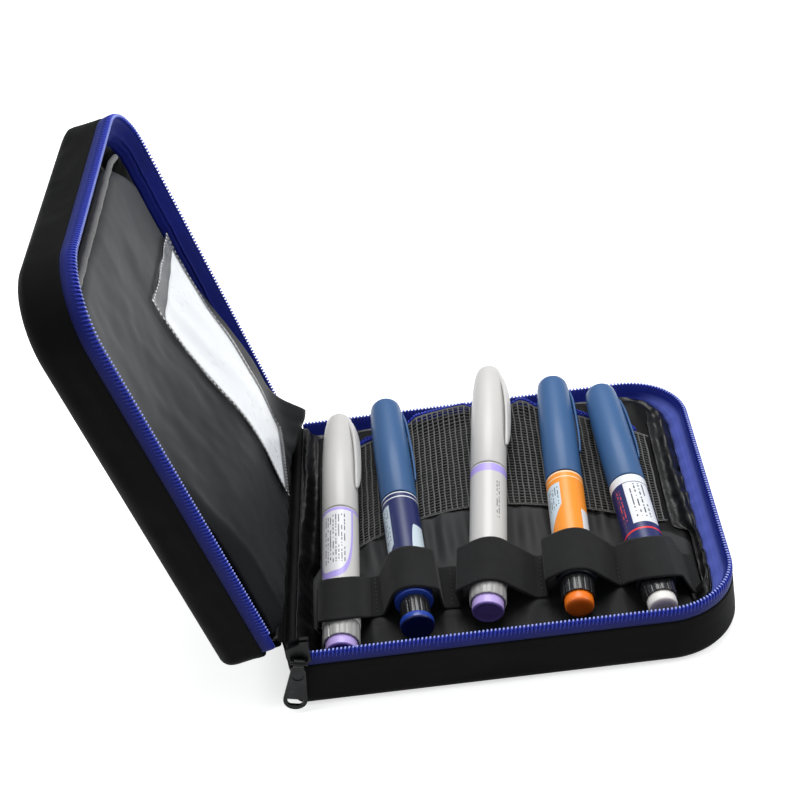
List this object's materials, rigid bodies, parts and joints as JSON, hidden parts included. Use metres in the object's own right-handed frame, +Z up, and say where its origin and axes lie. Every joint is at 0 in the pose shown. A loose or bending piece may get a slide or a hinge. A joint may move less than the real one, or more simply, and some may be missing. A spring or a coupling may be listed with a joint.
{
  "type": "insulin cooling case",
  "caption": "Soft insulated zip case standing open, with insulin pens held under an elastic strap over a net pocket, and a clear card window inside its lid.",
  "frame": {"origin": "centre of the base's flat bottom, where the case rests on a table", "axes": "+X away from the lid's hinge, +Y to the back, where the pens' caps point, +Z up"},
  "size_m": [0.2814, 0.1905, 0.2301],
  "materials": {
    "shell": "matte",
    "foam": "matte",
    "liner": "satin",
    "zip_tape": "matte",
    "zip_coil": "satin",
    "gel_pouch": "satin",
    "nylon": "satin",
    "net": "matte",
    "elastic": "matte",
    "window_film": "gloss",
    "card": "matte",
    "black_metal": "satin",
    "grey_plastic": "satin",
    "blue_plastic": "satin",
    "navy_label": "satin",
    "orange_label": "satin",
    "pale_label": "satin",
    "black_plastic": "satin",
    "knob_grey": "satin",
    "lilac_plastic": "satin",
    "orange_plastic": "satin",
    "white_plastic": "satin",
    "clear_plastic": "gloss"
  },
  "bodies": {
    "base": {"base_shell": "shell", "base_foam": "foam", "base_lining": "liner", "base_zip_tape": "zip_tape", "base_zip_teeth": "zip_coil", "base_hinge_binding": "liner", "base_gel_pack": "gel_pouch", "pen_panel": "nylon", "mesh_pocket": "net", "pocket_zip": "zip_coil", "pen_strap": "elastic", "hinge_spine": "shell"},
    "lid": {"lid_shell": "shell", "lid_foam": "foam", "lid_lining": "liner", "lid_zip_tape": "zip_tape", "lid_zip_teeth": "zip_coil", "lid_hinge_binding": "liner", "lid_panel": "nylon", "lid_gel_pack": "gel_pouch", "info_card": "card", "card_window": "window_film", "lid_pocket_binding": "nylon"},
    "slider": {"zip_slider": "black_metal"},
    "tab": {"pull_tab": "black_metal"},
    "pen_1": {"pen_1_barrel": "grey_plastic", "pen_1_label": "pale_label", "pen_1_cartridge_holder": "clear_plastic"},
    "pen_1_cap": {"pen_1_cap": "grey_plastic"},
    "pen_1_drive": {"pen_1_dose_drive": "white_plastic"},
    "pen_1_knob": {"pen_1_dose_knob": "knob_grey"},
    "pen_1_button": {"pen_1_dose_button": "lilac_plastic"},
    "pen_2": {"pen_2_barrel": "blue_plastic", "pen_2_label": "navy_label", "pen_2_cartridge_holder": "clear_plastic"},
    "pen_2_cap": {"pen_2_cap": "blue_plastic"},
    "pen_2_drive": {"pen_2_dose_drive": "white_plastic"},
    "pen_2_knob": {"pen_2_dose_knob": "black_plastic"},
    "pen_2_button": {"pen_2_dose_button": "blue_plastic"},
    "pen_3": {"pen_3_barrel": "grey_plastic", "pen_3_label": "pale_label", "pen_3_cartridge_holder": "clear_plastic"},
    "pen_3_cap": {"pen_3_cap": "grey_plastic"},
    "pen_3_drive": {"pen_3_dose_drive": "white_plastic"},
    "pen_3_knob": {"pen_3_dose_knob": "knob_grey"},
    "pen_3_button": {"pen_3_dose_button": "lilac_plastic"},
    "pen_4": {"pen_4_barrel": "blue_plastic", "pen_4_label": "orange_label", "pen_4_cartridge_holder": "clear_plastic"},
    "pen_4_cap": {"pen_4_cap": "blue_plastic"},
    "pen_4_drive": {"pen_4_dose_drive": "white_plastic"},
    "pen_4_knob": {"pen_4_dose_knob": "black_plastic"},
    "pen_4_button": {"pen_4_dose_button": "orange_plastic"},
    "pen_5": {"pen_5_barrel": "blue_plastic", "pen_5_label": "navy_label", "pen_5_cartridge_holder": "clear_plastic"},
    "pen_5_cap": {"pen_5_cap": "blue_plastic"},
    "pen_5_drive": {"pen_5_dose_drive": "white_plastic"},
    "pen_5_knob": {"pen_5_dose_knob": "black_plastic"},
    "pen_5_button": {"pen_5_dose_button": "white_plastic"}
  },
  "joints": [
    {"name": "lid_hinge", "type": "hinge", "parent": "base", "child": "lid", "pos_m": [-0.1025, 0, 0.032], "axis": [0, 1, 0], "range_deg": [-76, 103.9], "deforming": ["hinge_spine", "lid_foam", "lid_lining", "lid_panel", "lid_gel_pack", "info_card", "card_window", "lid_pocket_binding"]},
    {"name": "slider_run", "type": "slide", "parent": "base", "child": "slider", "axis": [1, 0, 0], "range_m": [0, 0.16]},
    {"name": "tab_swing", "type": "hinge", "parent": "slider", "child": "tab", "pos_m": [-0.0962, -0.096, 0.0288], "axis": [-0.9715, 0, 0.2368], "range_deg": [0, 170]},
    {"name": "pen_1_pull", "type": "slide", "parent": "base", "child": "pen_1", "axis": [-0.0104, -0.9929, -0.1184], "range_m": [-0.175, 0]},
    {"name": "pen_1_cap_pull", "type": "slide", "parent": "pen_1", "child": "pen_1_cap", "axis": [-0.0104, -0.9929, -0.1184], "range_m": [-0.064, 0]},
    {"name": "pen_1_drive_out", "type": "slide", "parent": "pen_1", "child": "pen_1_drive", "axis": [-0.0104, -0.9929, -0.1184], "range_m": [0, 0.0011]},
    {"name": "pen_1_dial", "type": "hinge", "parent": "pen_1_drive", "child": "pen_1_knob", "pos_m": [-0.0783, -0.0842, 0.0207], "axis": [0.0104, 0.9929, 0.1184], "range_deg": [0, 45]},
    {"name": "pen_1_press", "type": "slide", "parent": "pen_1_knob", "child": "pen_1_button", "axis": [0.0104, 0.9929, 0.1184], "range_m": [0, 0.002], "stiffness_N_per_m": 300},
    {"name": "pen_2_pull", "type": "slide", "parent": "base", "child": "pen_2", "axis": [0.0575, -0.9686, -0.2419], "range_m": [-0.175, 0], "deforming": ["pen_strap"]},
    {"name": "pen_2_cap_pull", "type": "slide", "parent": "pen_2", "child": "pen_2_cap", "axis": [0.0588, -0.9906, -0.1236], "range_m": [-0.07, 0]},
    {"name": "pen_2_drive_out", "type": "slide", "parent": "pen_2", "child": "pen_2_drive", "axis": [0.0588, -0.9906, -0.1236], "range_m": [0, 0.01]},
    {"name": "pen_2_dial", "type": "hinge", "parent": "pen_2_drive", "child": "pen_2_knob", "pos_m": [-0.043, -0.0744, 0.0223], "axis": [-0.0588, 0.9906, 0.1236], "range_deg": [0, 401]},
    {"name": "pen_2_press", "type": "slide", "parent": "pen_2_knob", "child": "pen_2_button", "axis": [-0.0588, 0.9906, 0.1236], "range_m": [0, 0.002], "stiffness_N_per_m": 300},
    {"name": "pen_3_pull", "type": "slide", "parent": "base", "child": "pen_3", "axis": [-0.091, -0.9806, -0.1736], "range_m": [-0.175, 0]},
    {"name": "pen_3_cap_pull", "type": "slide", "parent": "pen_3", "child": "pen_3_cap", "axis": [-0.091, -0.9806, -0.1736], "range_m": [-0.064, 0]},
    {"name": "pen_3_drive_out", "type": "slide", "parent": "pen_3", "child": "pen_3_drive", "axis": [-0.091, -0.9806, -0.1736], "range_m": [0, 0.015]},
    {"name": "pen_3_dial", "type": "hinge", "parent": "pen_3_drive", "child": "pen_3_knob", "pos_m": [-0.0106, -0.0684, 0.021], "axis": [0.091, 0.9806, 0.1736], "range_deg": [0, 601]},
    {"name": "pen_3_press", "type": "slide", "parent": "pen_3_knob", "child": "pen_3_button", "axis": [0.091, 0.9806, 0.1736], "range_m": [0, 0.002], "stiffness_N_per_m": 300},
    {"name": "pen_4_pull", "type": "slide", "parent": "base", "child": "pen_4", "axis": [-0.0311, -0.9907, -0.1323], "range_m": [-0.175, 0]},
    {"name": "pen_4_cap_pull", "type": "slide", "parent": "pen_4", "child": "pen_4_cap", "axis": [-0.0311, -0.9907, -0.1323], "range_m": [-0.07, 0]},
    {"name": "pen_4_drive_out", "type": "slide", "parent": "pen_4", "child": "pen_4_drive", "axis": [-0.0311, -0.9907, -0.1323], "range_m": [0, 0.01]},
    {"name": "pen_4_dial", "type": "hinge", "parent": "pen_4_drive", "child": "pen_4_knob", "pos_m": [0.031, -0.0744, 0.022], "axis": [0.0311, 0.9907, 0.1323], "range_deg": [0, 401]},
    {"name": "pen_4_press", "type": "slide", "parent": "pen_4_knob", "child": "pen_4_button", "axis": [0.0311, 0.9907, 0.1323], "range_m": [0, 0.002], "stiffness_N_per_m": 300},
    {"name": "pen_5_pull", "type": "slide", "parent": "base", "child": "pen_5", "axis": [0.0511, -0.9441, -0.3256], "range_m": [-0.175, 0]},
    {"name": "pen_5_cap_pull", "type": "slide", "parent": "pen_5", "child": "pen_5_cap", "axis": [0.0538, -0.9932, -0.1028], "range_m": [-0.07, 0]},
    {"name": "pen_5_drive_out", "type": "slide", "parent": "pen_5", "child": "pen_5_drive", "axis": [0.0538, -0.9932, -0.1028], "range_m": [0, 0.003]},
    {"name": "pen_5_dial", "type": "hinge", "parent": "pen_5_drive", "child": "pen_5_knob", "pos_m": [0.0679, -0.0826, 0.023], "axis": [-0.0538, 0.9932, 0.1028], "range_deg": [0, 121]},
    {"name": "pen_5_press", "type": "slide", "parent": "pen_5_knob", "child": "pen_5_button", "axis": [-0.0538, 0.9932, 0.1028], "range_m": [0, 0.002], "stiffness_N_per_m": 300}
  ],
  "couplings": [
    {"joint": "pen_1_dial", "follows": "pen_1_drive_out", "rad_per_m": 698.13},
    {"joint": "pen_2_dial", "follows": "pen_2_drive_out", "rad_per_m": 698.13},
    {"joint": "pen_3_dial", "follows": "pen_3_drive_out", "rad_per_m": 698.13},
    {"joint": "pen_4_dial", "follows": "pen_4_drive_out", "rad_per_m": 698.13},
    {"joint": "pen_5_dial", "follows": "pen_5_drive_out", "rad_per_m": 698.13}
  ]
}
